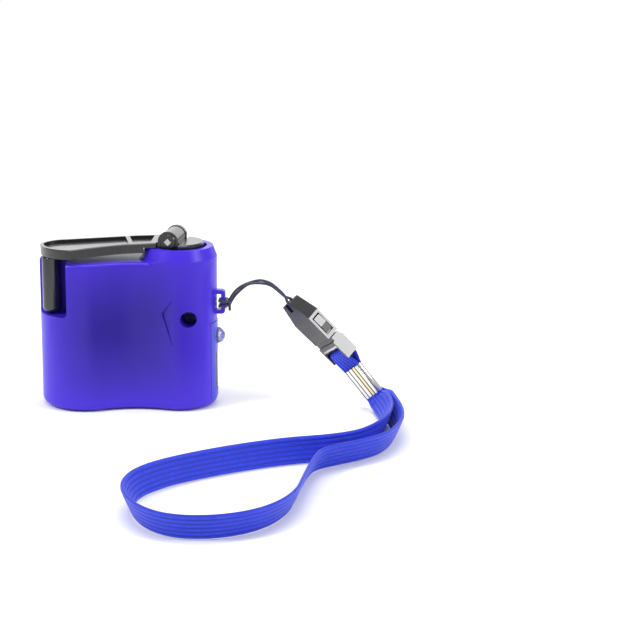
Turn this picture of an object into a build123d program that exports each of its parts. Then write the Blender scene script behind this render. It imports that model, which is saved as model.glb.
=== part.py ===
from build123d import *
import os
from math import acos, atan2, cos, degrees, pi, radians, sin, sqrt, tan

# Hand crank phone charger, millimetres, +Z up, +X towards the crank's hub, -Y the front.
# The origin is the middle of the flat base.

# --- Case -------------------------------------------------------------------------------
CASE_WIDTH = 58.0          # over both lobes
BIG_LOBE_R = 15.0          # left lobe, over the generator
SMALL_LOBE_R = 12.25       # right lobe, under the crank's hub
WAIST_HALF = 10.5          # half the depth at the waist
WALL = 1.6
DECK_Z = 49.0              # top of the left lobe
BASE_ROUND = 2.6
DECK_ROUND = 1.4
BIG_X = -CASE_WIDTH / 2 + BIG_LOBE_R
SMALL_X = CASE_WIDTH / 2 - SMALL_LOBE_R

# --- Raised collar round the hub --------------------------------------------------------
COLLAR_TOP_Z = 53.1
COLLAR_RIM_R = 11.0        # outer edge of the collar's flat rim
COLLAR_BORE_R = 9.0
COLLAR_FLARE = 1.1         # how far its foot spreads over the deck
COLLAR_FLARE_TALL = 0.65
HUB_WELL_Z = 50.6          # floor of the well that the hub turns in

# --- Notch that the folded knob hangs in ------------------------------------------------
NOTCH_FLOOR_Z = 31.2
NOTCH_BACK_Y = -1.4
NOTCH_WALL = 1.0
NOTCH_SIDE_X = BIG_X - 4.3       # inner side of the notch
NOTCH_CORNER_R = 1.6

# --- Crank ------------------------------------------------------------------------------
HUB_R = 8.1
HUB_BOTTOM_Z = 50.9
HUB_STEP_Z = 52.9          # low half of the hub, under the arm's root
HUB_TOP_Z = 54.4
HINGE_X = SMALL_X - 2.15
HINGE_Z = 55.2
HINGE_LEAN = 7.2           # degrees that the hinge barrel is turned from the Y axis
BARREL_R = 3.2
BARREL_HALF = 4.4
RING_R = 3.4
RING_INNER = 4.7           # inner face of each arm ring, along the hinge
RING_OUTER = 6.4
RING_SLOT_R = 3.75
PIN_R = 1.0
PIN_FIT = 0.05
CAP_R = 2.5
CAP_THICK = 0.9
PIN_SQUARE = 1.7
ARM_THICK = 3.1
ARM_SLOPE = 2.82           # degrees that the folded arm falls towards the knob
ARM_END_R = 14.7           # its end follows the left lobe
ARM_CORNER_R = 3.5         # its front left corner
ARM_BEVEL = 0.3
ARM_RIM = 1.1
ARM_RECESS = 1.0
ARM_ROOT_GAP = 3.8         # from the hinge axis to the arm's plate
SWEEP_R = 13.0             # the arm is thinned within this reach of the crank axis
RUN_GAP = 0.3
KNOB_X = BIG_X - 10.15
KNOB_Y = -6.2
KNOB_R = 3.1
KNOB_TOP_Z = 49.9
KNOB_BOTTOM_Z = 31.6
KNOB_ROUND = 1.6
KNOB_PIN_R = 1.1
KNOB_PIN_TOP_Z = 52.0

# --- Gear train -------------------------------------------------------------------------
MODULE = 0.5
PRESSURE = 20.0
ADDENDUM = 0.84            # in modules
DEDENDUM = 1.2
TOOTH_SLACK = 0.06         # taken off each tooth's thickness
DRIVE_TEETH = 38
FIRST_PINION = 10
FIRST_WHEEL = 30
SECOND_PINION = 11
SECOND_WHEEL = 24
ROTOR_PINION = 10
SHAFT_R = 2.0
AXLE_R = 0.9
AXLE_FIT = 0.06
PLATE_Z = 35.2             # underside of the lower gear plate
PLATE_THICK = 1.2
GEAR_THICK = 1.8
GEAR_GAP = 0.6
PLATE_MARGIN = 0.4         # from the plates' edge to the case wall
LEDGE = 1.2
POST_R = 1.2
BUSH_R = 3.3
BUSH_GAP = 0.05

# --- Generator --------------------------------------------------------------------------
CAN_R = 10.0
CAN_WALL = 0.8
CAN_BOTTOM_Z = 8.0
CAN_TOP_Z = 29.0
CAP_PLATE = 1.5
ROTOR_SHAFT_R = 1.0
ARMATURE_R = 6.4
MAGNET_IN_R = 6.9
RIB_THICK = 1.5
RIB_GAP = 0.3
TURRET_R = 3.2

# --- Front screw ------------------------------------------------------------------------
SCREW_X = SMALL_X + 3.95
SCREW_Z = 30.7
SCREW_SINK_R = 2.65
SCREW_SEAT_Y = -3.0
SCREW_HEAD_R = 2.3
SCREW_HEAD = 1.8
SCREW_R = 1.1
SCREW_TIP_Y = 6.0
BOSS_R = 3.1

# --- Front arrow relief -----------------------------------------------------------------
ARROW_LEFT = (SMALL_X - 4.65, 32.7)
ARROW_TOP = (SMALL_X - 0.85, 37.9)
ARROW_LOW = (SMALL_X - 1.55, 20.9)
ARROW_DEPTH = 0.5

# --- Right end: panel, lamp, socket, eye --------------------------------------------------
PANEL_HALF = 6.0
PANEL_LOW_Z = 2.8
PANEL_HIGH_Z = 28.2
PANEL_PROUD = 0.15
PANEL_THICK = 1.7
PANEL_GAP = 0.1
LAMP_Z = 23.0
LAMP_R = 2.7
LAMP_PROUD = 2.5
LAMP_FLANGE_R = 3.1
SOCKET_Z = 11.5
SOCKET_TALL = 13.1
SOCKET_WIDE = 5.7
SOCKET_DEEP = 13.8
SOCKET_SHELL = 0.3
TONGUE_SETBACK = 4.4
EYE_LOW_Z = 30.8
EYE_HIGH_Z = 38.7
EYE_REACH = 2.85
EYE_BAR = 1.3
EYE_DEPTH = 2.8
BOARD_Y = 3.0
BOARD_THICK = 1.2
BOARD_LEFT = -2.0
BOARD_RIGHT = CASE_WIDTH / 2 - 4.0
BOARD_LOW_Z = 3.2
BOARD_HIGH_Z = 26.6

# --- Lanyard ----------------------------------------------------------------------------
CORD_D = 0.9
KNOT_R = 1.15
BUCKLE_TOP = (53.1, -4.0, 35.7)
BUCKLE_FALL = 45.0         # degrees below the horizontal
BUCKLE_ROLL = 48.4         # degrees that its broad face is rolled up from the front
BUCKLE_WIDE = 10.0
BUCKLE_THICK = 5.1
TIP_WIDE = 5.3
TIP_THICK = 4.1
STRAP_WIDE = 8.6
STRAP_THICK = 1.2
FERRULE_TOP = (73.7, -4.0, 13.9)
FERRULE_END = (80.9, -4.0, 4.8)
FERRULE_WIDE = 8.0
FERRULE_THICK = 3.4
FERRULE_WALL = 0.35

BASE_ALIGN = (Align.CENTER, Align.CENTER, Align.MIN)
BIG = 100.0


# --- Small helpers ------------------------------------------------------------------------
def tube_z(radius, low, high, x=0.0, y=0.0):
    return Pos(x, y, low) * Cylinder(radius, high - low, align=BASE_ALIGN)


def rod_y(radius, start, end, x=0.0, z=0.0):
    return Pos(x, start, z) * Rot(-90, 0, 0) * Cylinder(radius, end - start, align=BASE_ALIGN)


def rod_x(radius, start, end, y=0.0, z=0.0):
    return Pos(start, y, z) * Rot(0, 90, 0) * Cylinder(radius, end - start, align=BASE_ALIGN)


def block(x0, x1, y0, y1, z0, z1):
    return Pos((x0 + x1) / 2, (y0 + y1) / 2, (z0 + z1) / 2) * Box(x1 - x0, y1 - y0, z1 - z0)


def ring_z(outer, inner, low, high, x=0.0, y=0.0):
    return tube_z(outer, low, high, x, y) - tube_z(inner, low - 1, high + 1, x, y)


def soft_path(points, tight=0.0):
    """Straight runs joined by tangent arcs, each as large as its two runs allow."""
    radii = []
    for before, here, after in zip(points, points[1:], points[2:]):
        run_in = Vector(*here) - Vector(*before)
        run_out = Vector(*after) - Vector(*here)
        turn = radians(run_in.get_angle(run_out))
        radii.append(0.45 * min(run_in.length, run_out.length) / tan(turn / 2))
    print("  route: least bend %.2f mm, most %.2f mm" % (min(radii), max(radii)))
    return FilletPolyline(*points, radius=radii)


def swept(path, profile, side=None):
    """A section swept along a path, with its first axis along side where one is given."""
    start = Plane(path @ 0, z_dir=path % 0) if side is None else Plane(path @ 0, x_dir=side, z_dir=path % 0)
    return sweep(start * profile, path=path)


# --- Case outline -------------------------------------------------------------------------
def waist_circle():
    """Centre and radius of the arc that joins the two lobes, tangent to both."""
    span = SMALL_X - BIG_X
    base = (span ** 2 - SMALL_LOBE_R ** 2 + BIG_LOBE_R ** 2) / (2 * span)
    rate = (BIG_LOBE_R - SMALL_LOBE_R) / span
    square = rate ** 2
    linear = 2 * base * rate - 2 * (BIG_LOBE_R - WAIST_HALF)
    constant = base ** 2 - BIG_LOBE_R ** 2 + WAIST_HALF ** 2
    radius = 2 * constant / (-linear + sqrt(linear ** 2 - 4 * square * constant))
    return BIG_X + base + rate * radius, WAIST_HALF + radius, radius


def case_face(inset=0.0):
    """Plan of the case: two lobes and a waist, drawn in by inset."""
    waist_x, waist_y, waist_r = waist_circle()
    big_r = BIG_LOBE_R - inset
    small_r = SMALL_LOBE_R - inset

    def touch(centre_x, radius):
        along = Vector(waist_x - centre_x, waist_y).normalized() * radius
        return centre_x + along.X, along.Y

    bx, by = touch(BIG_X, big_r)
    sx, sy = touch(SMALL_X, small_r)
    dip = WAIST_HALF - inset
    edges = [
        ThreePointArc((bx, by), (BIG_X - big_r, 0), (bx, -by)),
        ThreePointArc((bx, -by), (waist_x, -dip), (sx, -sy)),
        ThreePointArc((sx, -sy), (SMALL_X + small_r, 0), (sx, sy)),
        ThreePointArc((sx, sy), (waist_x, dip), (bx, by)),
    ]
    return make_face(edges)


def case_prism(low, high, inset=0.0):
    return Pos(0, 0, low) * extrude(case_face(inset), high - low)


def notch_space(grow=0.0):
    """The corner that the knob hangs in, open to the front, the left and the top."""
    low = NOTCH_FLOOR_Z - grow
    side = NOTCH_SIDE_X + grow
    space = block(-BIG, side, -BIG, NOTCH_BACK_Y + grow, low, BIG)
    corner = space.edges().filter_by(Axis.Y).filter_by(lambda e: e.center().Z < low + 1 and e.center().X > side - 1)
    return fillet(corner, NOTCH_CORNER_R + grow)


# --- Case shells ----------------------------------------------------------------------------
def case_blank():
    prism = case_prism(0, DECK_Z)
    top = prism.edges().group_by(Axis.Z)[-1]
    prism = fillet(top, DECK_ROUND)
    bottom = prism.edges().group_by(Axis.Z)[0]
    prism = fillet(bottom, BASE_ROUND)
    foot_r = SMALL_LOBE_R + COLLAR_FLARE
    foot = tube_z(foot_r, DECK_Z - 2 * DECK_ROUND, DECK_Z, SMALL_X)
    foot += Pos(SMALL_X, 0, DECK_Z) * Cone(foot_r, SMALL_LOBE_R, COLLAR_FLARE_TALL, align=BASE_ALIGN)
    foot &= case_prism(0, BIG)
    cone_z = DECK_Z + COLLAR_FLARE_TALL
    cone_tall = COLLAR_TOP_Z - cone_z
    cone = Pos(SMALL_X, 0, cone_z) * Cone(SMALL_LOBE_R, COLLAR_RIM_R, cone_tall, align=BASE_ALIGN)
    return prism + foot + cone


def generator_ribs():
    inner = CAN_R + RIB_GAP
    ribs = None
    for low in (12.0, 22.0):
        disc = case_prism(low, low + RIB_THICK, WALL - 0.2) & block(-BIG, BIG_X + 8, -BIG, BIG, 0, BIG)
        rib = disc - tube_z(inner, 0, BIG, BIG_X)
        ribs = rib if ribs is None else ribs + rib
    for side in (-1, 1):
        near, far = sorted((side * 3.5, side * 7.5))
        ribs += block(BIG_X - 4, BIG_X + 4, near, far, WALL - 0.2, CAN_BOTTOM_Z - CAP_PLATE)
    return ribs


def gear_ledge():
    """Shelf round the inside of the case that the lower gear plate lies on."""
    low = PLATE_Z - 1.0
    ring = case_prism(low, PLATE_Z, WALL - 0.2) - case_prism(low - 1, PLATE_Z + 1, WALL + LEDGE)
    return ring - block(-BIG, NOTCH_SIDE_X + NOTCH_WALL + 1, -BIG, 1, 0, BIG)


def shell_blank():
    inner_top = DECK_Z - WALL
    hollow = case_prism(WALL, inner_top, WALL)
    shell = case_blank() - hollow
    shell = shell + generator_ribs() + gear_ledge()
    shell -= tube_z(COLLAR_BORE_R, HUB_WELL_Z, BIG, SMALL_X)
    shell -= tube_z(BUSH_R + BUSH_GAP, inner_top - 1, BIG, SMALL_X)
    shell -= tube_z(CAN_R + RIB_GAP, CAN_BOTTOM_Z, CAN_TOP_Z, BIG_X)
    window = PANEL_HALF + PANEL_GAP
    shell -= block(SMALL_X, BIG, -window, window, PANEL_LOW_Z - PANEL_GAP, PANEL_HIGH_Z + PANEL_GAP)
    return shell


def arrow_cut():
    """Wedge with its sharp edges at the left, running out flush at the right."""
    outline = make_face(Polyline(
        (ARROW_LEFT[0], 0, ARROW_LEFT[1]),
        (ARROW_TOP[0], 0, ARROW_TOP[1]),
        (ARROW_LOW[0] + 0.7, 0, ARROW_LOW[1]),
        (ARROW_LEFT[0], 0, ARROW_LEFT[1])))
    prism = extrude(outline, BIG, dir=(0, -1, 0))
    left_y = -sqrt(SMALL_LOBE_R ** 2 - (ARROW_LEFT[0] - SMALL_X) ** 2) + ARROW_DEPTH
    right_y = -sqrt(SMALL_LOBE_R ** 2 - (ARROW_TOP[0] - SMALL_X) ** 2)
    lean = atan2(right_y - left_y, ARROW_TOP[0] - ARROW_LEFT[0])
    front = Pos(ARROW_LEFT[0], left_y, 0) * Rot(0, 0, degrees(lean)) * block(-BIG, BIG, -BIG, 0, 0, BIG)
    return prism & front


def screw_boss(side):
    """Round boss from the wall to the split, in front with a sunk seat, behind with a pilot."""
    start, end = (-BIG, -0.05) if side < 0 else (0.05, BIG)
    boss = rod_y(BOSS_R, start, end, SCREW_X, SCREW_Z) & case_prism(WALL, DECK_Z, WALL * 0.6)
    if side < 0:
        boss_cut = rod_y(SCREW_SINK_R, -BIG, SCREW_SEAT_Y, SCREW_X, SCREW_Z)
        boss_cut += rod_y(SCREW_R + PIN_FIT * 2, -BIG, 1, SCREW_X, SCREW_Z)
    else:
        boss_cut = rod_y(SCREW_R + PIN_FIT, -1, SCREW_TIP_Y + 1, SCREW_X, SCREW_Z)
    return boss, boss_cut


def lanyard_eye():
    right = CASE_WIDTH / 2 + EYE_REACH
    body = block(CASE_WIDTH / 2 - 0.8, right, -EYE_DEPTH, 0, EYE_LOW_Z, EYE_HIGH_Z)
    corners = body.edges().filter_by(Axis.Y).filter_by(lambda e: e.center().X > right - 0.5)
    body = fillet(corners, 1.2)
    gap = block(CASE_WIDTH / 2 - 1.0, right - EYE_BAR, -BIG, BIG, EYE_LOW_Z + EYE_BAR, EYE_HIGH_Z - EYE_BAR)
    wall = tube_z(SMALL_LOBE_R - WALL / 2, 0, BIG, SMALL_X)
    return body - gap - wall


def front_shell():
    shell = shell_blank() & block(-BIG, BIG, -BIG, 0, -BIG, BIG)
    walls = case_prism(WALL / 2, DECK_Z - WALL / 2, WALL / 2) & notch_space(NOTCH_WALL)
    boss, cut = screw_boss(-1)
    shell = shell + walls + boss + lanyard_eye()
    return shell - notch_space() - cut - arrow_cut()


def rear_shell():
    shell = shell_blank() & block(-BIG, BIG, 0, BIG, -BIG, BIG)
    boss, cut = screw_boss(1)
    shell = shell + boss
    for x, z in board_holes():
        post = rod_y(1.6, BOARD_Y + BOARD_THICK, BIG, x, z) & case_prism(WALL, DECK_Z, WALL * 0.4)
        shell = shell + post - rod_y(0.75, 0, BOARD_Y + BOARD_THICK + 3, x, z)
    return shell - cut


def board_holes():
    return [(1.4, 5.2), (1.4, 24.4), (11.2, 24.4)]


def case_screw():
    head = rod_y(SCREW_HEAD_R, SCREW_SEAT_Y - SCREW_HEAD, SCREW_SEAT_Y, SCREW_X, SCREW_Z)
    shank = rod_y(SCREW_R, SCREW_SEAT_Y, SCREW_TIP_Y, SCREW_X, SCREW_Z)
    top = SCREW_SEAT_Y - SCREW_HEAD
    arm = SCREW_HEAD_R * 0.68
    cross = block(SCREW_X - arm, SCREW_X + arm, top - 1, top + 0.9, SCREW_Z - 0.35, SCREW_Z + 0.35)
    cross += block(SCREW_X - 0.35, SCREW_X + 0.35, top - 1, top + 0.9, SCREW_Z - arm, SCREW_Z + arm)
    return head + shank - cross


# --- Right end ------------------------------------------------------------------------------
def port_panel():
    outer = SMALL_LOBE_R + PANEL_PROUD
    shape = ring_z(outer, outer - PANEL_THICK, PANEL_LOW_Z, PANEL_HIGH_Z, SMALL_X)
    shape &= block(SMALL_X, BIG, -PANEL_HALF, PANEL_HALF, 0, BIG)
    mouth_y = SOCKET_WIDE / 2 + PANEL_GAP
    mouth_z = SOCKET_TALL / 2 + PANEL_GAP
    shape -= block(SMALL_X, BIG, -mouth_y, mouth_y, SOCKET_Z - mouth_z, SOCKET_Z + mouth_z)
    return shape - rod_x(LAMP_R + PANEL_GAP, SMALL_X, BIG, 0, LAMP_Z)


def led_lamp():
    face = CASE_WIDTH / 2 + PANEL_PROUD
    inner = face - PANEL_THICK
    tip = face + LAMP_PROUD
    body = rod_x(LAMP_R, inner - 2.2, tip - LAMP_R, 0, LAMP_Z)
    dome = Pos(tip - LAMP_R, 0, LAMP_Z) * Sphere(LAMP_R)
    flange = rod_x(LAMP_FLANGE_R, inner - 2.2, inner - 1.0, 0, LAMP_Z)
    return body + dome + flange


def led_leads():
    start = CASE_WIDTH / 2 + PANEL_PROUD - PANEL_THICK - 2.2
    leads = []
    for side in (-1, 1):
        z = LAMP_Z + side * 1.27
        along = block(start - 2.0 - side * 0.5, start, -0.25, 0.25, z - 0.25, z + 0.25)
        down = block(start - 2.5 - side * 0.5, start - 2.0 - side * 0.5, -0.25, BOARD_Y, z - 0.25, z + 0.25)
        leads.append(along + down)
    return Compound(children=leads)


def usb_shell():
    mouth = CASE_WIDTH / 2 - 0.25
    tall = SOCKET_TALL / 2
    wide = SOCKET_WIDE / 2
    outer = block(mouth - SOCKET_DEEP, mouth, -wide, wide, SOCKET_Z - tall, SOCKET_Z + tall)
    wide -= SOCKET_SHELL
    tall -= SOCKET_SHELL
    return outer - block(mouth - SOCKET_DEEP - 1, mouth + 1, -wide, wide, SOCKET_Z - tall, SOCKET_Z + tall)


def usb_tongue():
    mouth = CASE_WIDTH / 2 - 0.25
    wide = SOCKET_WIDE / 2 - SOCKET_SHELL
    tall = SOCKET_TALL / 2 - SOCKET_SHELL
    back = block(mouth - SOCKET_DEEP, mouth - 11.0, -wide, wide, SOCKET_Z - tall, SOCKET_Z + tall)
    tip = mouth - TONGUE_SETBACK
    return back + block(mouth - 11.0, tip, 0.2, 2.1, SOCKET_Z - 5.5, SOCKET_Z + 5.5)


def usb_contacts():
    mouth = CASE_WIDTH / 2 - 0.25
    strips = []
    for offset in (-3.5, -1.0, 1.0, 3.5):
        z = SOCKET_Z + offset
        strips.append(block(mouth - 11.0, mouth - TONGUE_SETBACK - 0.6, -0.1, 0.2, z - 0.5, z + 0.5))
    return Compound(children=strips)


# --- Circuit board --------------------------------------------------------------------------
def circuit_board():
    board = block(BOARD_LEFT, BOARD_RIGHT, BOARD_Y, BOARD_Y + BOARD_THICK, BOARD_LOW_Z, BOARD_HIGH_Z)
    for x, z in board_holes():
        board -= rod_y(0.9, BOARD_Y - 1, BOARD_Y + BOARD_THICK + 1, x, z)
    return board


def board_screws():
    screws = []
    for x, z in board_holes():
        head = rod_y(1.5, BOARD_Y - 0.9, BOARD_Y, x, z)
        screws.append(head + rod_y(0.7, BOARD_Y, BOARD_Y + BOARD_THICK + 2.6, x, z))
    return Compound(children=screws)


def capacitor():
    can = rod_y(3.0, BOARD_Y - 8.0, BOARD_Y - 0.6, 6.6, 19.6)
    return can + rod_y(3.15, BOARD_Y - 0.6, BOARD_Y, 6.6, 19.6)


def inductor():
    core = rod_y(1.5, BOARD_Y - 3.4, BOARD_Y, 6.6, 8.6)
    core += rod_y(3.2, BOARD_Y - 0.8, BOARD_Y, 6.6, 8.6)
    core += rod_y(3.2, BOARD_Y - 4.2, BOARD_Y - 3.4, 6.6, 8.6)
    return core + rod_y(2.7, BOARD_Y - 3.4, BOARD_Y - 0.8, 6.6, 8.6)


def diodes():
    rods = []
    for z in (20.6, 22.8, 25.0):
        rods.append(rod_x(0.9, 14.8, 18.6, BOARD_Y - 0.9, z))
    return Compound(children=rods)


def regulator_chip():
    return block(10.6, 14.4, BOARD_Y - 1.5, BOARD_Y, 12.0, 17.0)


# --- Gears ----------------------------------------------------------------------------------
def gear_face(teeth, gap_first=False):
    """Spur gear outline with straight-chord involute flanks. A tooth lies at angle 0,
    or a gap where gap_first is set."""
    pitch_r = MODULE * teeth / 2
    base_r = pitch_r * cos(radians(PRESSURE))
    root_r = pitch_r - DEDENDUM * MODULE
    tip_r = pitch_r + ADDENDUM * MODULE
    thickness = pi * MODULE / 2 - TOOTH_SLACK

    def involute(angle):
        return tan(angle) - angle

    def half_angle(radius):
        slope = acos(min(1.0, base_r / radius))
        angle = thickness / (2 * pitch_r) + involute(radians(PRESSURE)) - involute(slope)
        undercut = 0.35 * max(0.0, base_r - radius) / radius
        return angle - undercut

    stations = [root_r, max(root_r + 0.01, base_r), (base_r + tip_r) / 2, tip_r]
    points = []
    for tooth in range(teeth):
        middle = 2 * pi * (tooth + (0.5 if gap_first else 0.0)) / teeth
        for radius in stations:
            angle = middle - half_angle(radius)
            points.append((radius * cos(angle), radius * sin(angle)))
        for radius in reversed(stations):
            angle = middle + half_angle(radius)
            points.append((radius * cos(angle), radius * sin(angle)))
    return make_face(Polyline(*points, close=True))


def gear(teeth, low, high, x, gap_first=False):
    return Pos(x, 0, low) * extrude(gear_face(teeth, gap_first), high - low)


def gear_centres():
    """X of the two idler axles, from the crank's axis towards the generator."""
    first = SMALL_X - MODULE * (DRIVE_TEETH + FIRST_PINION) / 2
    second = first - MODULE * (FIRST_WHEEL + SECOND_PINION) / 2
    return first, second


def gear_levels():
    """Low Z of the three gear layers, the drive gear's layer last."""
    low = PLATE_Z + PLATE_THICK + GEAR_GAP
    step = GEAR_THICK + GEAR_GAP
    return low, low + step, low + 2 * step


def upper_plate_z():
    return gear_levels()[2] + GEAR_THICK + GEAR_GAP


def drive_gear():
    low = gear_levels()[2]
    hub = tube_z(3.4, low - GEAR_GAP / 2, low + GEAR_THICK + GEAR_GAP / 2, SMALL_X)
    return gear(DRIVE_TEETH, low, low + GEAR_THICK, SMALL_X) + hub - tube_z(SHAFT_R, 0, BIG, SMALL_X)


def idler(wheel_teeth, pinion_teeth, wheel_low, x):
    """Wheel below, pinion above, in one moulding that turns on a fixed axle."""
    pinion_high = wheel_low + 2 * GEAR_THICK + GEAR_GAP
    shape = gear(wheel_teeth, wheel_low, wheel_low + GEAR_THICK, x)
    shape += gear(pinion_teeth, wheel_low + GEAR_THICK, pinion_high, x, gap_first=True)
    return shape - tube_z(AXLE_R + AXLE_FIT, 0, BIG, x)


def first_gear():
    return idler(FIRST_WHEEL, FIRST_PINION, gear_levels()[1], gear_centres()[0])


def second_gear():
    return idler(SECOND_WHEEL, SECOND_PINION, gear_levels()[0], gear_centres()[1])


def axle(x):
    return tube_z(AXLE_R, PLATE_Z, upper_plate_z() + PLATE_THICK, x)


def rotor_pinion():
    low = gear_levels()[0]
    shape = gear(ROTOR_PINION, low, low + GEAR_THICK + 0.4, BIG_X, gap_first=True)
    return shape - tube_z(ROTOR_SHAFT_R, 0, BIG, BIG_X)


def plate_face_solid(low):
    plate = case_prism(low, low + PLATE_THICK, WALL + PLATE_MARGIN)
    notch = block(-BIG, NOTCH_SIDE_X + NOTCH_WALL + PLATE_MARGIN, -BIG, NOTCH_BACK_Y + NOTCH_WALL + 0.6, 0, BIG)
    plate -= notch
    first, second = gear_centres()
    for x in (first, second):
        plate -= tube_z(AXLE_R + 0.02, 0, BIG, x)
    return plate - tube_z(SHAFT_R + PIN_FIT, 0, BIG, SMALL_X)


def post_spots():
    """Clear of every wheel: two beside the second wheel, one behind the generator's pinion."""
    second = gear_centres()[1]
    return [(second + 2.4, -8.1), (second + 2.4, 8.1), (BIG_X - 3.6, 7.2)]


def gear_plate_lower():
    plate = plate_face_solid(PLATE_Z)
    plate += tube_z(TURRET_R, CAN_TOP_Z, PLATE_Z, BIG_X)
    return plate - tube_z(ROTOR_SHAFT_R + 0.9, 0, BIG, BIG_X)


def gear_plate_upper():
    low = upper_plate_z()
    plate = plate_face_solid(low) & block(BIG_X - 6.5, BIG, -BIG, BIG, 0, BIG)
    for x, y in post_spots():
        plate -= tube_z(0.75, 0, BIG, x, y)
    return plate


def plate_posts():
    posts = []
    for x, y in post_spots():
        posts.append(ring_z(POST_R, 0.7, PLATE_Z + PLATE_THICK, upper_plate_z(), x, y))
    return Compound(children=posts)


def plate_screws():
    screws = []
    top = upper_plate_z() + PLATE_THICK
    for x, y in post_spots():
        screws.append(tube_z(1.3, top, top + 0.7, x, y) + tube_z(0.65, top - 4.5, top, x, y))
    return Compound(children=screws)


def deck_bushing():
    low = upper_plate_z() + PLATE_THICK
    ceiling = DECK_Z - WALL
    shape = tube_z(BUSH_R, low, HUB_WELL_Z, SMALL_X) + tube_z(BUSH_R + 1.4, low, ceiling - 0.05, SMALL_X)
    return shape - tube_z(SHAFT_R + PIN_FIT, 0, BIG, SMALL_X)


# --- Generator ------------------------------------------------------------------------------
def generator_can():
    shape = tube_z(CAN_R, CAN_BOTTOM_Z, CAN_TOP_Z, BIG_X)
    shape -= tube_z(CAN_R - CAN_WALL, CAN_BOTTOM_Z - 1, CAN_TOP_Z - CAN_WALL, BIG_X)
    return shape - tube_z(ROTOR_SHAFT_R + PIN_FIT, 0, BIG, BIG_X)


def generator_magnets():
    shell = ring_z(CAN_R - CAN_WALL, MAGNET_IN_R, CAN_BOTTOM_Z + 4.5, CAN_TOP_Z - 3.0, BIG_X)
    left = shell & block(-BIG, BIG_X - 2.2, -BIG, BIG, 0, BIG)
    right = shell & block(BIG_X + 2.2, BIG, -BIG, BIG, 0, BIG)
    return Compound(children=[left, right])


def generator_cap():
    low = CAN_BOTTOM_Z - CAP_PLATE
    shape = tube_z(CAN_R, low, CAN_BOTTOM_Z, BIG_X)
    shape += ring_z(CAN_R - CAN_WALL - 0.1, 7.6, CAN_BOTTOM_Z, CAN_BOTTOM_Z + 2.5, BIG_X)
    return shape - tube_z(ROTOR_SHAFT_R + PIN_FIT, 0, BIG, BIG_X)


def brush_spots():
    return (-1, 1)


def generator_brushes():
    parts = []
    for side in brush_spots():
        near, far = sorted((BIG_X + side * 2.3, BIG_X + side * 7.5))
        parts.append(block(near, far, -0.8, 0.8, CAN_BOTTOM_Z, CAN_BOTTOM_Z + 2.4))
    return Compound(children=parts)


def generator_terminals():
    tabs = []
    low = CAN_BOTTOM_Z - CAP_PLATE
    for side in brush_spots():
        x = BIG_X + side * 5.5
        tabs.append(block(x - 0.9, x + 0.9, -0.2, 0.2, low - 2.6, low))
    return Compound(children=tabs)


def wire_routes():
    """From each terminal along the floor of the case to the front of the board."""
    low = CAN_BOTTOM_Z - CAP_PLATE - 1.8
    near = BIG_X + 5.5
    far = BIG_X - 5.5
    joint = BOARD_LEFT + 0.8
    return [
        [(near + 0.9, 0, low), (-4.2, 0, low), (joint, 0.2, low - 0.3), (joint, BOARD_Y, low - 0.3)],
        [(far, -0.2, low), (far, -2.0, low), (far + 4.5, -2.4, low - 0.5), (near - 0.1, -2.2, low - 0.5),
         (-3.6, -1.4, low - 0.1), (-2.2, -0.9, low + 0.8), (joint, 0.5, low + 2.5), (joint, BOARD_Y, low + 2.5)],
    ]


def generator_wires():
    wires = []
    for points in wire_routes():
        wires.append(swept(soft_path(points), Circle(0.5)))
    return Compound(children=wires)


def rotor_shaft():
    return tube_z(ROTOR_SHAFT_R, CAN_BOTTOM_Z - CAP_PLATE, gear_levels()[0] + GEAR_THICK + 0.4, BIG_X)


def rotor_armature():
    low = CAN_BOTTOM_Z + 5.0
    high = CAN_TOP_Z - 3.5
    shape = tube_z(ARMATURE_R, low, high, BIG_X)
    for turn in (90, 210, 330):
        slot = Pos(BIG_X, 0, 0) * Rot(0, 0, turn) * block(3.2, BIG, -0.6, 0.6, 0, BIG)
        shape -= slot
    return shape - tube_z(ROTOR_SHAFT_R, 0, BIG, BIG_X)


def commutator():
    return ring_z(2.0, ROTOR_SHAFT_R, CAN_BOTTOM_Z + 0.3, CAN_BOTTOM_Z + 4.2, BIG_X)


# --- Crank ----------------------------------------------------------------------------------
def hinge_frame():
    """Frame at the hinge: local Y runs along its axis, local X away from the arm."""
    lean = radians(HINGE_LEAN)
    return Plane(origin=(HINGE_X, 0, HINGE_Z), x_dir=(cos(lean), -sin(lean), 0), z_dir=(0, 0, 1))


def crank_hub():
    frame = hinge_frame()
    low_disc = tube_z(HUB_R, HUB_BOTTOM_Z, HUB_STEP_Z, SMALL_X)
    high_disc = tube_z(HUB_R, HUB_STEP_Z, HUB_TOP_Z, SMALL_X) & (frame * block(0, BIG, -BIG, BIG, -9, 9))
    rim = high_disc.edges().group_by(Axis.Z)[-1].filter_by(GeomType.CIRCLE)
    high_disc = chamfer(rim, 0.4)
    shape = low_disc + high_disc + frame * rod_y(BARREL_R, -BARREL_HALF, BARREL_HALF)
    shape -= frame * rod_y(RING_SLOT_R, -BIG, -BARREL_HALF)
    shape -= frame * rod_y(RING_SLOT_R, BARREL_HALF, BIG)
    shape -= frame * rod_y(PIN_R + PIN_FIT, -BIG, BIG)
    return shape - tube_z(SHAFT_R + 0.01, 0, HUB_STEP_Z - 0.3, SMALL_X)


def crank_shaft():
    shape = tube_z(SHAFT_R, PLATE_Z - 0.8, HUB_STEP_Z - 0.3, SMALL_X)
    groove = ring_z(SHAFT_R + 1, SHAFT_R - 0.5, PLATE_Z - 0.6, PLATE_Z - 0.1, SMALL_X)
    return shape - groove


def shaft_clip():
    return ring_z(SHAFT_R + 1.0, SHAFT_R - 0.5, PLATE_Z - 0.6, PLATE_Z - 0.1, SMALL_X) - block(
        SMALL_X - 0.9, SMALL_X + 0.9, -BIG, 0, 0, BIG)


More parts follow.
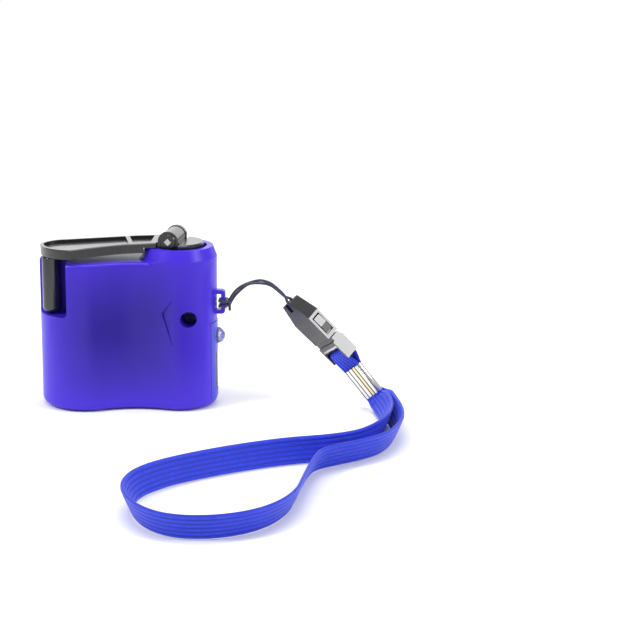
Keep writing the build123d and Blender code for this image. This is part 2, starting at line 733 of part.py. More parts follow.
def arm_edges():
    """Plan of the arm: an end that follows the left lobe, a straight back and a hollow front."""
    lean = radians(HINGE_LEAN)
    root = Vector(HINGE_X, 0) - Vector(cos(lean), -sin(lean)) * ARM_ROOT_GAP
    along = Vector(sin(lean), cos(lean))
    root_back = root + along * 6.9
    root_front = root - along * 7.7
    tip = (BIG_X - 2.8, -BIG_LOBE_R)
    left = (BIG_X - ARM_END_R * cos(radians(8)), -ARM_END_R * sin(radians(8)))
    middle = (BIG_X - ARM_END_R * cos(radians(43)), -ARM_END_R * sin(radians(43)))
    back = (BIG_X - 7.6, BIG_LOBE_R / 3)
    shoulder = (SMALL_X - 14.95, 7.6)
    waist = (SMALL_X - 17.75, -7.9)
    return [
        ThreePointArc(tip, middle, left),
        ThreePointArc(left, (BIG_X - 12.9, 2.7), back),
        Line(back, shoulder),
        Line(shoulder, (root_back.X, root_back.Y)),
        Line((root_back.X, root_back.Y), (root_front.X, root_front.Y)),
        Line((root_front.X, root_front.Y), waist),
        ThreePointArc(waist, (BIG_X + 3.4, -11.6), tip),
    ]


def arm_plate():
    face = make_face(arm_edges())
    plate = Pos(0, 0, HINGE_Z - ARM_THICK) * extrude(face, ARM_THICK)
    plate = fillet(plate.edges().filter_by(Axis.Z).sort_by(Axis.Y)[0], ARM_CORNER_R)
    front = plate.edges().group_by(Axis.Z)[-1].filter_by(lambda e: e.center().X < HINGE_X - 5 and e.center().Y < 3)
    plate = chamfer(front, ARM_BEVEL)
    floor = offset(face, -ARM_RIM, kind=Kind.INTERSECTION)
    recess = Pos(0, 0, HINGE_Z - ARM_RECESS) * extrude(floor, ARM_RECESS + 1)
    rib = Pos(SMALL_X - 16.35, 0, 0) * Rot(0, 0, 13) * block(-0.7, 0.7, -BIG, BIG, 0, BIG)
    return plate - (recess - rib - block(SMALL_X - 8.75, BIG, -BIG, BIG, 0, BIG))


def crank_arm():
    frame = hinge_frame()
    plate = arm_plate()
    for side in (-1, 1):
        near, far = sorted((side * RING_INNER, side * RING_OUTER))
        plate += frame * rod_y(RING_R, near, far)
        plate += frame * block(-ARM_ROOT_GAP - 0.6, 0, near, far, -1.7, 0)
    hinge = Axis((HINGE_X, 0, HINGE_Z), frame.y_dir)
    plate = plate.rotate(hinge, -ARM_SLOPE)
    keep_clear = tube_z(SWEEP_R, 0, COLLAR_TOP_Z + RUN_GAP, SMALL_X)
    keep_clear -= frame * block(-RING_R - 0.1, BIG, -BIG, BIG, -9, 9)
    plate -= keep_clear
    plate -= frame * rod_y(PIN_R + 0.01, -BIG, BIG)
    seat_y = RING_OUTER - 0.4
    plate -= frame * rod_y(CAP_R + 0.02, -BIG, -seat_y)
    return plate - tube_z(KNOB_PIN_R + 0.01, 0, KNOB_PIN_TOP_Z, KNOB_X, KNOB_Y)


def hinge_pin():
    frame = hinge_frame()
    seat_y = RING_OUTER - 0.4
    shape = frame * rod_y(PIN_R, -seat_y, RING_OUTER)
    shape += frame * rod_y(PIN_R + 0.8, RING_OUTER, RING_OUTER + 0.5)
    return shape + frame * pin_square(-seat_y - CAP_THICK - 0.1, -seat_y, PIN_SQUARE)


def pin_square(start, end, size):
    return Rot(0, 45, 0) * block(-size / 2, size / 2, start, end, -size / 2, size / 2)


def pin_cap():
    frame = hinge_frame()
    seat_y = RING_OUTER - 0.4
    disc = frame * rod_y(CAP_R, -seat_y - CAP_THICK, -seat_y)
    front = disc.edges().filter_by(GeomType.CIRCLE).sort_by(Axis.Y)[0]
    disc = chamfer(front, 0.2)
    return disc - frame * pin_square(-BIG, BIG, PIN_SQUARE + 0.02)


def crank_knob():
    shape = tube_z(KNOB_R, KNOB_BOTTOM_Z, KNOB_TOP_Z, KNOB_X, KNOB_Y)
    shape = fillet(shape.edges().group_by(Axis.Z)[0], KNOB_ROUND)
    shape = fillet(shape.edges().group_by(Axis.Z)[-1], 0.3)
    return shape - tube_z(KNOB_PIN_R + PIN_FIT, KNOB_BOTTOM_Z + 2.2, BIG, KNOB_X, KNOB_Y)


def knob_pin():
    return tube_z(KNOB_PIN_R, KNOB_BOTTOM_Z + 2.4, KNOB_PIN_TOP_Z, KNOB_X, KNOB_Y)


# --- Lanyard --------------------------------------------------------------------------------
def buckle_frame():
    """Frame at the buckle's top: local X runs down its length, local Y across its width,
    local Z out of its broad face."""
    fall = radians(BUCKLE_FALL)
    roll = radians(BUCKLE_ROLL)
    down = (cos(fall), 0, -sin(fall))
    face = (-sin(fall) * sin(roll), -cos(roll), -cos(fall) * sin(roll))
    return Plane(origin=BUCKLE_TOP, x_dir=down, z_dir=face)


def slab(outline, thick):
    """A plate of the given outline in the buckle's length and width, centred on its face."""
    face = make_face(Polyline(*outline, close=True))
    return Pos(0, 0, -thick / 2) * extrude(face, thick)


def mirrored(outline):
    return [(x, -y) for x, y in outline]


SOCKET_MOUTH = 17.0        # along the buckle, where the two halves meet
SOCKET_SHOULDER = 7.6
CORD_SLOT = 3.1            # length of the slot in its tip that the cord enters
CORD_SLOT_HALF = 0.85
CORD_BAR_U = 0.8
CORD_BAR_R = 0.7


def buckle_socket():
    half = BUCKLE_WIDE / 2
    tip = TIP_WIDE / 2
    outline = [(0, -tip), (SOCKET_SHOULDER, -half), (SOCKET_MOUTH, -half + 0.3)]
    outline += [(SOCKET_MOUTH, half - 0.3), (SOCKET_SHOULDER, half), (0, tip)]
    shape = slab(outline, BUCKLE_THICK)
    taper = (BUCKLE_THICK - TIP_THICK) / 2
    lean = degrees(atan2(taper, SOCKET_SHOULDER))
    for side in (-1, 1):
        skim = Pos(SOCKET_SHOULDER, 0, side * BUCKLE_THICK / 2) * Rot(0, -side * lean, 0)
        near, far = sorted((0, side * 5))
        shape -= skim * block(-20, 0, -9, 9, near, far)
    cavity = block(SOCKET_SHOULDER - 1.5, BIG, -half + 0.8, half - 0.8, -1.7, 1.7)
    windows = block(SOCKET_SHOULDER + 1.0, SOCKET_MOUTH - 1.2, -9, 9, -1.7, 1.7)
    slot = block(-1, CORD_SLOT, -CORD_SLOT_HALF, CORD_SLOT_HALF, -BIG, BIG)
    bar = rod_y(CORD_BAR_R, -CORD_SLOT_HALF - 0.5, CORD_SLOT_HALF + 0.5, CORD_BAR_U, 0)
    return buckle_frame() * (shape - cavity - windows - slot + bar)


def buckle_plug():
    half = BUCKLE_WIDE / 2
    base = slab([(17.3, -half - 0.4), (18.8, -half - 0.4), (18.8, half + 0.4), (17.3, half + 0.4)], 3.6)
    base += slab([(18.8, -half - 0.2), (20.2, -half - 0.2), (20.2, half + 0.2), (18.8, half + 0.2)], 5.0)
    prong = [(17.3, 2.5), (9.6, 2.3), (7.3, 2.6), (7.5, half - 1.2), (8.8, half - 0.9), (9.1, half), (12.5, half),
             (15.3, half - 0.3), (15.5, half - 1.3), (17.3, half - 1.2)]
    for outline in (prong, mirrored(prong)):
        base += slab(outline, 2.8)
    base += slab([(7.4, -0.9), (17.3, -0.9), (17.3, 0.9), (7.4, 0.9)], 2.4)
    inner = STRAP_WIDE / 2 + 0.15
    for side in (-1, 1):
        near, far = sorted((side * inner, side * (half + 0.2)))
        base += block(18.8, 25.9, near, far, -2.5, 2.5)
    return buckle_frame() * (base + rod_y(0.9, -inner - 0.2, inner + 0.2, 24.6, 0))


def strap_fold():
    """The strap's turn through the buckle's frame, from the ferrule round the end bar and back."""
    frame = buckle_frame()
    exit_u = (Vector(*FERRULE_TOP) - Vector(*BUCKLE_TOP)).length
    flat = [(exit_u, 0.62), (26.4, 1.75), (22.9, 1.75), (22.9, -1.75), (26.4, -1.75), (exit_u, -0.62)]
    points = [frame.from_local_coords((u, 0.0, n)) for u, n in flat]
    path = FilletPolyline(*[tuple(p) for p in points], radius=[3.0, 1.6, 1.6, 3.0])
    return swept(path, Rectangle(STRAP_WIDE, STRAP_THICK), side=frame.y_dir)


def ferrule_frame():
    roll = radians(BUCKLE_ROLL)
    along = (Vector(*FERRULE_END) - Vector(*FERRULE_TOP)).normalized()
    up = Vector(-along.Z, 0, along.X)
    face = Vector(0, -cos(roll), 0) - up * sin(roll)
    return Plane(origin=FERRULE_TOP, x_dir=tuple(along), z_dir=tuple(face))


def strap_ferrule():
    length = (Vector(*FERRULE_END) - Vector(*FERRULE_TOP)).length
    wide = FERRULE_WIDE / 2
    thick = FERRULE_THICK / 2
    shape = block(0, length, -wide, wide, -thick, thick)
    shape = fillet(shape.edges().filter_by(Axis.X), 0.9)
    wide -= FERRULE_WALL
    thick -= FERRULE_WALL
    return ferrule_frame() * (shape - block(-1, length + 1, -wide, wide, -thick, thick))


def cord_route():
    """Thin cord, from the knot at the eye up and over to the buckle's bar, round it and back."""
    frame = buckle_frame()
    side = CORD_BAR_R + CORD_D / 2 + 0.1
    turn = [frame.from_local_coords((CORD_BAR_U - 1.2, 0, side)), frame.from_local_coords((CORD_BAR_U + side, 0, side)),
            frame.from_local_coords((CORD_BAR_U + side, 0, -side)), frame.from_local_coords((CORD_BAR_U - 1.2, 0, -side))]
    out = [(32.9, -1.0, 34.6), (34.4, -1.6, 37.6), (37.4, -2.2, 40.3), (41.2, -3.0, 41.7),
           (45.6, -3.8, 41.9), (49.2, -4.6, 40.1)]
    home = [(49.6, -3.0, 40.6), (46.0, -2.2, 42.3), (42.0, -1.9, 41.5), (38.6, -1.5, 39.2), (35.9, -1.1, 36.9),
            (33.6, -0.9, 34.2)]
    return out + [tuple(p) for p in turn] + home


def lanyard_cord():
    path = soft_path(cord_route())
    shape = swept(path, Circle(CORD_D / 2))
    print("  cord: %.1f mm long, volume over section %.1f mm" % (
        path.length, shape.volume / (pi * (CORD_D / 2) ** 2)))
    return shape


def lanyard_hitch():
    """The cord's wrap round the eye's bar and the knot beside it."""
    left = CASE_WIDTH / 2 + EYE_REACH - EYE_BAR - CORD_D / 2 - 0.1
    right = CASE_WIDTH / 2 + EYE_REACH + CORD_D / 2 + 0.1
    front = -EYE_DEPTH - CORD_D / 2 - 0.1
    back = CORD_D / 2 + 0.1
    shape = None
    for z in (33.4, 35.2):
        loop = RectangleRounded(right - left, back - front, 0.7).wire()
        loop = Pos((left + right) / 2, (front + back) / 2, z) * loop
        turn = sweep(Plane(loop @ 0, z_dir=loop % 0) * Circle(CORD_D / 2), path=loop)
        shape = turn if shape is None else shape + turn
    knot_x = CASE_WIDTH / 2 + EYE_REACH + KNOT_R + 0.05
    shape += Pos(knot_x, -1.3, 34.3) * Sphere(KNOT_R)
    return shape + tube_z(CORD_D / 2, 31.6, 34.0, knot_x + 0.1, -1.4)


def strap_route():
    """Middle line of the strap's loop in plan: out of the ferrule, round and back into it."""
    return [
        (81.4, -3.5), (86.6, -9.2), (89.6, -20.0), (89.0, -35.0), (85.3, -49.5), (79.8, -60.0),
        (71.5, -68.5), (64.8, -76.0), (61.4, -86.5), (59.4, -99.5), (55.8, -112.5), (48.6, -123.5),
        (37.0, -130.0), (24.6, -128.6), (15.6, -119.5), (12.2, -107.0), (14.4, -95.0), (23.0, -85.6),
        (34.0, -78.0), (44.6, -69.8), (56.0, -63.6), (68.0, -60.6), (77.2, -55.4), (82.6, -46.0),
        (86.0, -33.5), (86.5, -20.0), (83.8, -10.6), (79.2, -5.6)]


def wrist_strap():
    height = STRAP_WIDE / 2
    points = [(x, y, height) for x, y in strap_route()]
    path = soft_path(points)
    shape = swept(path, Rectangle(STRAP_WIDE, STRAP_THICK), side=(0, 0, 1))
    print("  strap: loop %.1f mm long, volume over section %.1f mm" % (
        path.length, shape.volume / (STRAP_WIDE * STRAP_THICK)))
    return shape


# --- Write one file for each piece ------------------------------------------------------------
PIECES = {
    "front_shell": front_shell,
    "rear_shell": rear_shell,
    "case_screw": case_screw,
    "port_panel": port_panel,
    "led_lamp": led_lamp,
    "led_leads": led_leads,
    "usb_shell": usb_shell,
    "usb_tongue": usb_tongue,
    "usb_contacts": usb_contacts,
    "circuit_board": circuit_board,
    "board_screws": board_screws,
    "capacitor": capacitor,
    "inductor": inductor,
    "diodes": diodes,
    "regulator_chip": regulator_chip,
    "deck_bushing": deck_bushing,
    "gear_plate_lower": gear_plate_lower,
    "gear_plate_upper": gear_plate_upper,
    "plate_posts": plate_posts,
    "plate_screws": plate_screws,
    "first_axle": lambda: axle(gear_centres()[0]),
    "second_axle": lambda: axle(gear_centres()[1]),
    "generator_can": generator_can,
    "generator_magnets": generator_magnets,
    "generator_brushes": generator_brushes,
    "generator_cap": generator_cap,
    "generator_terminals": generator_terminals,
    "generator_wires": generator_wires,
    "rotor_shaft": rotor_shaft,
    "rotor_armature": rotor_armature,
    "commutator": commutator,
    "rotor_pinion": rotor_pinion,
    "second_gear": second_gear,
    "first_gear": first_gear,
    "drive_gear": drive_gear,
    "crank_shaft": crank_shaft,
    "shaft_clip": shaft_clip,
    "crank_hub": crank_hub,
    "crank_arm": crank_arm,
    "hinge_pin": hinge_pin,
    "pin_cap": pin_cap,
    "crank_knob": crank_knob,
    "knob_pin": knob_pin,
    "lanyard_hitch": lanyard_hitch,
    "lanyard_cord": lanyard_cord,
    "buckle_socket": buckle_socket,
    "buckle_plug": buckle_plug,
    "strap_fold": strap_fold,
    "strap_ferrule": strap_ferrule,
    "wrist_strap": wrist_strap,
}

os.makedirs("parts", exist_ok=True)
for name, build in PIECES.items():
    print(name)
    export_step(build(), "parts/" + name + ".step")
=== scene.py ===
# %% [markdown]
# # A hand crank phone charger on a white table
# The solids of this charger come from CAD with all their holes, gears and joints. Blender's
# work is the look: the frosted plastic, the satin crank, the woven strap and the studio.
# We load the solids first.

# %% Load the solids
import math
import bmesh
import bpy
from mathutils import Matrix, Vector


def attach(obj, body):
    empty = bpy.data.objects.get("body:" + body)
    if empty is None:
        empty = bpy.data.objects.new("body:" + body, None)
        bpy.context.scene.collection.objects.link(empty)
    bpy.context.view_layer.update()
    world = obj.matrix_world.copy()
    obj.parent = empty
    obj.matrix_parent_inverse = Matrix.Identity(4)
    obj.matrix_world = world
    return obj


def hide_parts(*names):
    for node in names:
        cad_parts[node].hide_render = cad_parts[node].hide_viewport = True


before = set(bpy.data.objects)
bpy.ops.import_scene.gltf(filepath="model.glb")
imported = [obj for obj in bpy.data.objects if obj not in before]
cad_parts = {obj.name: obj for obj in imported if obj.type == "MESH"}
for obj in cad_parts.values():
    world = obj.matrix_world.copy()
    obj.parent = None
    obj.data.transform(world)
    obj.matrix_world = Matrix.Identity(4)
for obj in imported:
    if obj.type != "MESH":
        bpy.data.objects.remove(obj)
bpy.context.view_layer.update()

MM = 0.001

# %% [markdown]
# ## The camera
# A product photo is taken from a little above with a long lens, so that upright edges stay
# nearly parallel. Three turns place it: yaw to the side, pitch down, and a slight roll. We build
# its matrix from those turns, because that is exact where aiming by eye is not.

# %% Camera
CAMERA_PLACE = Vector((85.7, -604.4, 178.7)) * MM
YAW, PITCH, ROLL = math.radians(-2.17), math.radians(13.94), math.radians(0.40)
SENSOR_WIDTH, LENS_LENGTH = 36, 106.875
forward = Vector((math.sin(YAW) * math.cos(PITCH), math.cos(YAW) * math.cos(PITCH), -math.sin(PITCH)))
level_right = Vector((math.cos(YAW), -math.sin(YAW), 0))
level_up = level_right.cross(forward)
right = math.cos(ROLL) * level_right + math.sin(ROLL) * level_up
up = -math.sin(ROLL) * level_right + math.cos(ROLL) * level_up
lens = bpy.data.cameras.new("camera")
lens.sensor_width = SENSOR_WIDTH
lens.lens = LENS_LENGTH
lens.clip_end = 20
camera = bpy.data.objects.new("camera", lens)
turn = Matrix((right, up, -forward)).transposed().to_4x4()
camera.matrix_world = Matrix.Translation(CAMERA_PLACE) @ turn
bpy.context.collection.objects.link(camera)
bpy.context.scene.camera = camera
print("camera looks along", [round(c, 3) for c in forward])

# %% [markdown]
# ## Cords as smooth curves
# The lanyard is soft, so its two free stretches follow curves. A bent tube of straight pieces
# would show its corners. A NURBS curve of order 3 never has a kink: its points pull it towards
# them without being touched. Places on the buckle are given along it, across it and out of its
# face, because it hangs at a slant in two directions.

# %% A cord from a route
BUCKLE_TOP = Vector((53.1, -4.0, 35.7)) * MM
FALL, TURN = math.radians(45.0), math.radians(48.4)
buckle_down = Vector((math.cos(FALL), 0, -math.sin(FALL)))
buckle_face = Vector((-math.sin(FALL) * math.sin(TURN), -math.cos(TURN), -math.cos(FALL) * math.sin(TURN)))
buckle_side = buckle_face.cross(buckle_down)


def on_buckle(along, side, out):
    """A point from millimetres down the buckle, across it and out of its face."""
    return BUCKLE_TOP + (buckle_down * along + buckle_side * side + buckle_face * out) * MM


def add_route(name, points, closed=False):
    """A smooth NURBS curve that follows control points given in metres."""
    curve = bpy.data.curves.new(name, "CURVE")
    curve.dimensions = "3D"
    curve.resolution_u = 12
    spline = curve.splines.new("NURBS")
    spline.points.add(len(points) - 1)
    for spot, place in zip(spline.points, points):
        spot.co = (*place, 1)
    spline.order_u = 3
    spline.use_cyclic_u = closed
    spline.use_endpoint_u = not closed
    piece = bpy.data.objects.new(name, curve)
    bpy.context.collection.objects.link(piece)
    return piece


def plump(piece, width):
    """Turns a route into a round cord. The bevel is 1, and the radius of each point scales it,
    so the object's box stays as small as the cord."""
    for spot in piece.data.splines[0].points:
        spot.radius = width / 2
    piece.data.bevel_depth = 1.0
    piece.data.bevel_resolution = 4
    piece.data.use_fill_caps = True


def line_of(route):
    """The points of a route's smooth line, and its length."""
    mesh = bpy.data.meshes.new_from_object(route)
    points = [v.co.copy() for v in mesh.vertices]
    bpy.data.meshes.remove(mesh)
    return points, sum((b - a).length for a, b in zip(points, points[1:]))


print("the buckle points along", [round(c, 3) for c in buckle_down])

# %% [markdown]
# ## The thin cord
# A braided loop ties the buckle to the case. It leaves the knot at the eye, rises and falls in
# a short arc, turns round the bar in the buckle's top and comes back beside itself. One curve
# draws both strands, since the real loop is one piece too.

# %% The thin cord
CORD_WIDTH = 0.9 * MM
BAR_ALONG, BAR_RADIUS, BAR_GAP = 0.8, 0.7, 0.35    # millimetres
BAR_LEAD = 1.2                                     # the cord is beside the bar this far ahead of it
bar_clear = BAR_RADIUS + BAR_GAP
out_and_up = [(32.9, -1.2, 34.6), (34.2, -1.8, 37.4), (36.8, -2.2, 40.0), (40.2, -2.2, 41.5),
              (43.4, -2.6, 42.4), (46.8, -3.6, 41.7), (49.7, -4.2, 39.4), (51.7, -4.2, 37.3)]
round_bar = [on_buckle(BAR_ALONG + along, 0, out) for along, out in (
    (-BAR_LEAD, bar_clear), (bar_clear, bar_clear), (bar_clear, -bar_clear), (-BAR_LEAD, -bar_clear))]
back_home = [(51.5, -3.8, 37.0), (49.4, -3.6, 38.9), (46.6, -3.2, 41.0), (43.0, -3.4, 41.5),
             (39.6, -3.1, 41.2), (37.0, -2.0, 38.9), (34.8, -1.3, 36.6), (33.5, -0.9, 34.2)]
cord_points = [Vector(p) * MM for p in out_and_up] + round_bar + [Vector(p) * MM for p in back_home]
lanyard_string = add_route("lanyard_string", cord_points)
string_line, string_length = line_of(lanyard_string)
plump(lanyard_string, CORD_WIDTH)
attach(lanyard_string, "housing")
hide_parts("lanyard_cord")
print("thin cord:", round(string_length * 1000, 1), "mm")

# %% [markdown]
# ## Where the ferrule holds the strap
# Both ends of the wrist strap and both ends of its short fold meet in a pressed sleeve, so its
# own directions are needed first: along it, out of its face and across it. It is turned a
# little about its length, which the shine on its ribs shows.

# %% The ferrule's directions
FERRULE_TOP, FERRULE_END = Vector((73.7, -4.0, 13.9)) * MM, Vector((80.9, -4.0, 4.8)) * MM
SLEEVE_TURN = math.radians(15)
ferrule_along = (FERRULE_END - FERRULE_TOP).normalized()
ferrule_up = Vector((-ferrule_along.z, 0, ferrule_along.x))
ferrule_face = Vector((0, -math.cos(SLEEVE_TURN), 0)) - ferrule_up * math.sin(SLEEVE_TURN)
ferrule_side = ferrule_face.cross(ferrule_along)
print("the ferrule is", round((FERRULE_END - FERRULE_TOP).length * 1000, 1), "mm long")

# %% [markdown]
# ## The wrist strap's line
# The strap stands on its edge on the table in one long loop. A simulation could lay it down, but
# it would land elsewhere each time a number changed. So the line follows points that were read
# from the picture: out of the ferrule, round the far end and back into the ferrule.

# %% The strap's line
STRAP_WIDE, STRAP_THICK = 8.6 * MM, 1.2 * MM
LEANING_HEIGHT, STANDING_HEIGHT = 4.0, 4.3         # of the middle line over the table, millimetres
rear_start = [(79.2, -3.5, 7.4), (81.9, -3.5, 4.1), (83.9, -6.6, 4.3)]
leaning = [(85.7, -14.0), (87.9, -24.0), (88.9, -33.5), (88.3, -42.5), (84.6, -54.0), (78.2, -61.2),
           (70.6, -66.6), (65.2, -71.2), (63.4, -77.6), (61.9, -88.0), (60.7, -99.0), (59.6, -108.5),
           (55.8, -118.4), (49.0, -126.4), (38.6, -131.0), (27.4, -130.4), (18.4, -122.2)]
standing = [(13.4, -110.0), (14.2, -97.5), (21.5, -87.0), (32.5, -78.2), (44.0, -70.8), (56.0, -64.6),
            (68.0, -61.0), (76.4, -56.2), (81.8, -47.0), (84.8, -36.5), (85.5, -27.5), (84.9, -19.5),
            (83.6, -12.5)]
front_end = [(82.3, -8.0, 4.25), (81.3, -4.5, 4.1), (78.7, -4.5, 7.4)]
strap_flat = [(x, y, LEANING_HEIGHT) for x, y in leaning] + [(x, y, STANDING_HEIGHT) for x, y in standing]
strap_points = [Vector(p) * MM for p in rear_start + strap_flat + front_end]
strap_route = add_route("strap_route", strap_points)
strap_line, strap_length = line_of(strap_route)
bpy.data.objects.remove(strap_route)
print("strap:", round(strap_length * 1000, 1), "mm in", len(strap_line), "points")

# %% [markdown]
# ## A woven ribbon
# The strap is a flat woven tube with ribs along it. A plain plane with a bump would go smooth at
# its edges, so the ribs are real: an outline with a dip between each two is carried along the
# line. The mesh keeps its own length and width as UVs for the threads.

# %% A woven ribbon
RIBS = 6
RIB_DIP = 0.42             # depth of the dip between two ribs, as a share of the half thickness
PROFILE_POINTS = 61


def ribbon_profile(wide, thick):
    """Half of the ribbon's outline as (across, out): rounded edges and a dip between ribs."""
    spots = []
    for i in range(PROFILE_POINTS):
        across = i / (PROFILE_POINTS - 1) * 2 - 1
        edge = max(0.0, 1 - abs(across) ** 8) ** 0.5
        crown = abs(math.sin((across + 1) / 2 * math.pi * RIBS)) ** 0.5
        spots.append((across * wide / 2, thick / 2 * edge * (1 - RIB_DIP * (1 - crown))))
    return spots


def add_ribbon(name, line, sides, shares, wide, thick):
    """A ribbon along a line. sides gives the direction of its width at each point, and shares
    how much of the full width it has there."""
    half = ribbon_profile(wide, thick)
    outline = half + [(across, -out) for across, out in reversed(half)]
    mesh = bpy.data.meshes.new(name)
    bm = bmesh.new()
    weave = bm.loops.layers.uv.new("weave")
    rings, run = [], [0.0]
    for here, before in zip(line[1:], line):
        run.append(run[-1] + (here - before).length)
    for i, (place, side, share) in enumerate(zip(line, sides, shares)):
        ahead = (line[min(i + 1, len(line) - 1)] - line[max(i - 1, 0)]).normalized()
        side = (side - ahead * side.dot(ahead)).normalized()
        out = side.cross(ahead)
        rings.append([bm.verts.new(place + side * a * share + out * o) for a, o in outline])
    count = len(outline)
    for i in range(len(rings) - 1):
        for j in range(count):
            k = (j + 1) % count
            face = bm.faces.new((rings[i][j], rings[i][k], rings[i + 1][k], rings[i + 1][j]))
            face.smooth = True
            corners = ((i, j), (i, j + 1), (i + 1, j + 1), (i + 1, j))
            for loop, (r, c) in zip(face.loops, corners):
                loop[weave].uv = (run[r] * 1000, outline[c % count][0] * 1000)
    bm.faces.new(list(reversed(rings[0])))
    bm.faces.new(rings[-1])
    bmesh.ops.recalc_face_normals(bm, faces=bm.faces)
    bm.to_mesh(mesh)
    bm.free()
    piece = bpy.data.objects.new(name, mesh)
    bpy.context.collection.objects.link(piece)
    return piece


print("a ribbon's outline has", 2 * len(ribbon_profile(STRAP_WIDE, STRAP_THICK)), "points")

# %% [markdown]
# ## The strap's loop
# The layers leave the ferrule side by side, pressed narrow, and lie over at its slant. Each
# then widens and rolls upright over the first few centimetres, as the real one does. A list of
# stations says how far the ribbon leans at each distance along it.

# %% The strap's loop
UPRIGHT = Vector((0, 0, 1))
FULL = strap_length * 1000
TILTS = [(0, 50), (3, 48), (10, 32), (24, 26), (45, 23), (190, 23), (215, 4), (FULL - 60, 0),
         (FULL - 40, -14), (FULL - 22, -26), (FULL - 9, -34), (FULL - 3, -48), (FULL, -50)]
SQUEEZE = [(0, 0.72), (4, 0.74), (11, 1.0), (400, 1.0)]    # share of the full width, by the distance
HELD_TO, HELD_OVER = 8, 5      # millimetres from an end: where it is free, and how long it takes


def between(stations, run):
    """The value at a distance, in a list of (distance, value)."""
    for (low, one), (high, two) in zip(stations, stations[1:]):
        if run <= high:
            return one + (two - one) * (run - low) / (high - low)
    return stations[-1][1]


strap_sides, strap_shares, walked = [], [], 0.0
for i, place in enumerate(strap_line):
    walked += (place - strap_line[max(i - 1, 0)]).length * 1000
    from_end = min(walked, FULL - walked)
    ahead = strap_line[min(i + 1, len(strap_line) - 1)] - strap_line[max(i - 1, 0)]
    tilt = math.radians(between(TILTS, walked))
    side = UPRIGHT * math.cos(tilt) + UPRIGHT.cross(ahead).normalized() * math.sin(tilt)
    held = min(1.0, max(0.0, (HELD_TO - from_end) / HELD_OVER))
    strap_sides.append(side.lerp(ferrule_side, held).normalized())
    strap_shares.append(between(SQUEEZE, from_end))
loop_strap = add_ribbon("loop_strap", strap_line, strap_sides, strap_shares, STRAP_WIDE, STRAP_THICK)
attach(loop_strap, "housing")
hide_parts("wrist_strap")
print("ribbon faces:", len(loop_strap.data.polygons))

# %% [markdown]
# ## The fold through the buckle
# A short piece of the same strap goes round the bar at the buckle's lower end and comes back, and
# the ferrule clamps its two leaves. It uses the same ribbon with another line. Its width turns
# from the buckle's direction to the ferrule's on the way.

# %% The strap's fold through the buckle
exit_along = (FERRULE_TOP - BUCKLE_TOP).length / MM
round_the_bar = [(26.4, 1.6), (24.6, 1.8), (22.9, 1.75), (22.4, 0),
                 (22.9, -1.75), (24.6, -1.8), (26.4, -1.6)]
LEAF_DEPTH, LEAF_APART = 3 * MM, 0.5 * MM      # how far each end goes into the sleeve, beside its middle
LEAF_SQUEEZE = 0.27                            # how much narrower the leaves are in the sleeve
turning = [(0, 0.0), (24, 0.0), (exit_along + 1, 1.0), (99, 1.0)]
outward = ferrule_face if ferrule_face.dot(buckle_face) > 0 else -ferrule_face
front_leaf = [FERRULE_TOP + ferrule_along * deep + outward * LEAF_APART for deep in (LEAF_DEPTH, 0)]
rear_leaf = [FERRULE_TOP + ferrule_along * deep - outward * LEAF_APART for deep in (0, LEAF_DEPTH)]
fold_points = front_leaf + [on_buckle(along, 0, out) for along, out in round_the_bar] + rear_leaf
fold_route = add_route("fold_route", fold_points)
fold_line, fold_length = line_of(fold_route)
bpy.data.objects.remove(fold_route)
fold_sides, fold_shares = [], []
for place in fold_line:
    share = between(turning, (place - BUCKLE_TOP).length * 1000)
    fold_sides.append(buckle_side.lerp(ferrule_side, share).normalized())
    fold_shares.append(1 - LEAF_SQUEEZE * share)
strap_turn = add_ribbon("strap_turn", fold_line, fold_sides, fold_shares, STRAP_WIDE, STRAP_THICK)
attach(strap_turn, "housing")
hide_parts("strap_fold")
print("fold:", round(fold_length * 1000, 1), "mm")

# %% [markdown]
# ## The ferrule
# A pressed metal sleeve holds the strap's layers together. Its sheet is pressed into narrow
# ribs that run along it, so its outline is drawn across, with a notch at each groove, and carried
# from one end to the other.

# %% Ferrule
FERRULE_WIDE, FERRULE_THICK = 7.1 * MM, 3.3 * MM
BRASS_GROOVE = 0.02        # the warm rib begins at this one
# The place of each groove, from -1 to 1 across the face, and its depth in millimetres.
GROOVES = ((-0.72, 0.34), (-0.36, 0.16), (BRASS_GROOVE, 0.22), (0.34, 0.14), (0.70, 0.34))
GROOVE_HALF = 0.05
SLEEVE_POINTS = 161
# How far along each ring of the sleeve lies, and how large it is: out, rounded over, and back inside.
SLEEVE_RINGS = ((0.0, 0.97), (0.02, 1.0), (0.98, 1.0), (1.0, 0.97), (1.0, 0.85), (0.0, 0.85), (0.0, 0.97))


def sleeve_outline():
    """The sleeve's outline as (across, out): bowed faces, rounded edges and pressed grooves."""
    half = []
    for i in range(SLEEVE_POINTS):
        across = -math.cos(math.pi * i / (SLEEVE_POINTS - 1))
        out = max(0.0, 1 - abs(across) ** 5) ** 0.5 * FERRULE_THICK / 2
        for middle, depth in GROOVES:
            out -= depth * MM * max(0.0, 1 - abs(across - middle) / GROOVE_HALF)
        half.append((across * FERRULE_WIDE / 2, out))
    return half + [(a, -o) for a, o in reversed(half[1:-1])]


